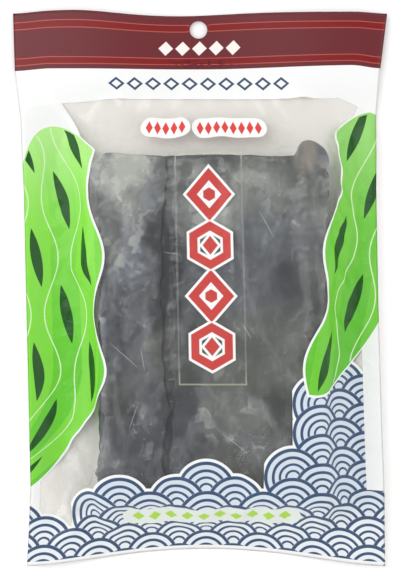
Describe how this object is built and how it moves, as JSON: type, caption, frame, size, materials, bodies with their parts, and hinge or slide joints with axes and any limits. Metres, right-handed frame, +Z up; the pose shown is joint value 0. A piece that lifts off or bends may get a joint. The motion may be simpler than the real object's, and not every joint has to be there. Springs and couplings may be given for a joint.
{
  "type": "sealed bag of dried kelp",
  "caption": "Flat clear film bag with a printed header, a round hang hole and a sealed foot, filled with a stack of dark dried kelp.",
  "frame": {"origin": "on the surface that the bag lies on, under the middle of its outline", "axes": "+Y along the bag from the bottom seal towards the header, +Z up out of the printed front, +X to the right as the front is seen"},
  "size_m": [0.171, 0.2542, 0.0185],
  "materials": {
    "film": "gloss",
    "kelp": "matte"
  },
  "bodies": {
    "root": {"bag": "film"}
  },
  "joints": []
}
